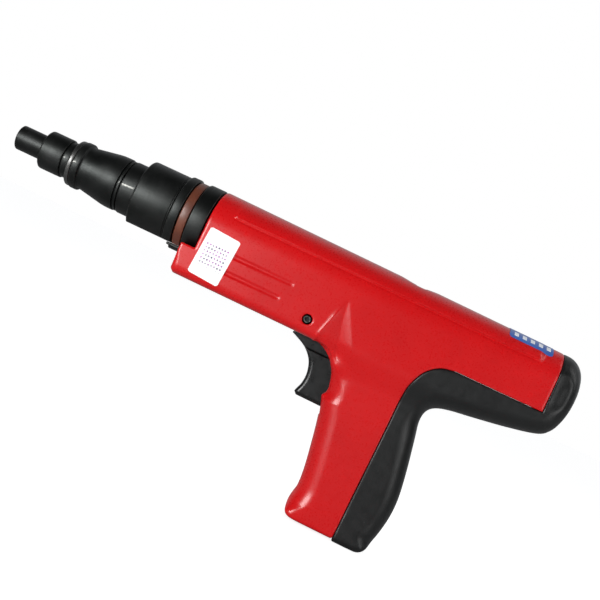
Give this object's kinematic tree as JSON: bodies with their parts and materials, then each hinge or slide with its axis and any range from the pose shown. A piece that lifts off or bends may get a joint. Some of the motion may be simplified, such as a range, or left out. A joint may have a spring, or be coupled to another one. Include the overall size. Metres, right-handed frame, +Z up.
{
  "type": "powder-actuated nail gun",
  "caption": "Pistol-shaped powder-actuated nail gun: red housing and grip, black rear cover, stepped black barrel that slides forward, press-in nose, captive piston and trigger.",
  "frame": {"origin": "middle of the base of the bounding box, under the grip", "axes": "+X along the barrel towards the rear, so the muzzle points to -X; +Z up; the side with the labels faces -Y"},
  "size_m": [0.3416, 0.0424, 0.1468],
  "materials": {
    "black_steel": "black oxide, satin",
    "bright_steel": "ground",
    "spring_steel": "drawn wire and strip",
    "bronze": "turned",
    "red_housing": "fine-textured powder coat",
    "black_cover": "finely grained moulding",
    "black_trigger": "satin moulding",
    "brown_rubber": "glossy",
    "black_rubber": "matt",
    "white_label": "coated label",
    "blue_label": "coated label"
  },
  "bodies": {
    "housing": {"housing": "red_housing", "rear_cover": "black_cover", "guide_bush": "bronze", "breech_block": "bright_steel", "spring_seat": "spring_steel", "cap_screw": "black_steel", "grip_screw": "black_steel", "trigger_pivot_screw": "black_steel", "sear_pin": "bright_steel", "strip_guide": "spring_steel", "white_label": "white_label", "blue_label": "blue_label", "striker_spring": "spring_steel", "trigger_spring": "spring_steel", "sear_spring": "spring_steel"},
    "carriage": {"barrel_sleeve": "black_steel", "sleeve_rear_ring": "black_steel", "buffer_ring": "brown_rubber", "barrel_collar": "black_steel", "guide_rail": "black_steel", "return_spring_seat": "spring_steel", "return_spring": "spring_steel"},
    "nose": {"muzzle_tube": "black_steel", "nose_collar": "black_steel", "nose_snap_ring": "spring_steel", "nose_cone": "black_steel", "groove_ring": "black_steel", "piston_guide": "black_steel", "retaining_ring": "spring_steel", "cocking_rod_left": "bright_steel", "cocking_rod_right": "bright_steel", "piston_buffer": "black_rubber", "buffer_washer": "bright_steel"},
    "piston": {"piston": "bright_steel", "piston_ring_front": "spring_steel", "piston_ring_rear": "spring_steel"},
    "striker": {"striker": "bright_steel"},
    "trigger": {"trigger": "black_trigger", "trigger_shield": "black_trigger"},
    "trigger_bar": {"trigger_bar": "bright_steel"},
    "sear": {"sear": "bright_steel"}
  },
  "joints": [
    {"name": "barrel_pull", "type": "slide", "parent": "housing", "child": "carriage", "axis": [-1, 0, 0], "range_m": [0, 0.05]},
    {"name": "nose_press", "type": "slide", "parent": "carriage", "child": "nose", "axis": [1, 0, 0], "range_m": [0, 0.012], "stiffness_N_per_m": 3000, "springref_m": -0.01, "deforming": ["return_spring"]},
    {"name": "piston_stroke", "type": "slide", "parent": "nose", "child": "piston", "axis": [-1, 0, 0], "range_m": [0, 0.072]},
    {"name": "striker_cock", "type": "slide", "parent": "housing", "child": "striker", "axis": [1, 0, 0], "range_m": [0, 0.012], "stiffness_N_per_m": 900, "springref_m": -0.008, "deforming": ["striker_spring"]},
    {"name": "trigger_pull", "type": "hinge", "parent": "housing", "child": "trigger", "pos_m": [0.02375, 0, 0.1019], "axis": [0, -1, 0], "range_deg": [0, 10], "stiffness_Nm_per_rad": 1.2, "springref_deg": -6.88},
    {"name": "trigger_bar_slide", "type": "slide", "parent": "housing", "child": "trigger_bar", "axis": [1, 0, 0], "range_m": [0, 0.0026], "deforming": ["trigger_spring"]},
    {"name": "sear_release", "type": "hinge", "parent": "housing", "child": "sear", "pos_m": [0.09575, 0, 0.0996], "axis": [0, -1, 0], "range_deg": [0, 10], "deforming": ["sear_spring"]}
  ],
  "couplings": [
    {"joint": "striker_cock", "follows": "nose_press", "ratio": 1},
    {"joint": "trigger_bar_slide", "follows": "trigger_pull", "m_per_rad": 0.01433},
    {"joint": "sear_release", "follows": "trigger_pull", "ratio": 0.98}
  ]
}
